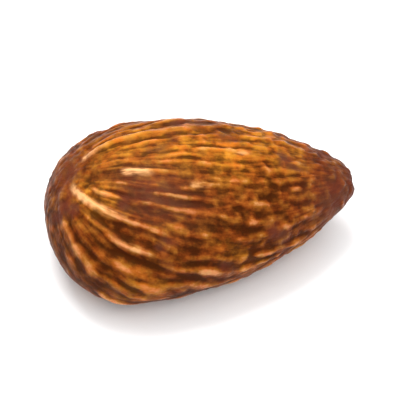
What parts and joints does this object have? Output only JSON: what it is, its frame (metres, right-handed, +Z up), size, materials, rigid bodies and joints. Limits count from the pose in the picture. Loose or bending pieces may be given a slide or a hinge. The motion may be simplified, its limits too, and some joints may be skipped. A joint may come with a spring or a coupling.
{
  "type": "almond",
  "caption": "Whole almond kernel in its roasted skin: a plump teardrop with ridges that fan out from the blunt end, lying on its broad side.",
  "frame": {"origin": "middle of the almond's footprint, on the surface it lies on", "axes": "+X along the almond towards its tip, +Z up from the surface it lies on, through its thin direction, +Y across it, away from the picture's camera"},
  "size_m": [0.023, 0.0142, 0.0097],
  "materials": {
    "roasted_skin": "satin, ridged red-brown seed skin with lighter ridges and darker grooves"
  },
  "bodies": {
    "root": {"almond": "roasted_skin"}
  },
  "joints": []
}
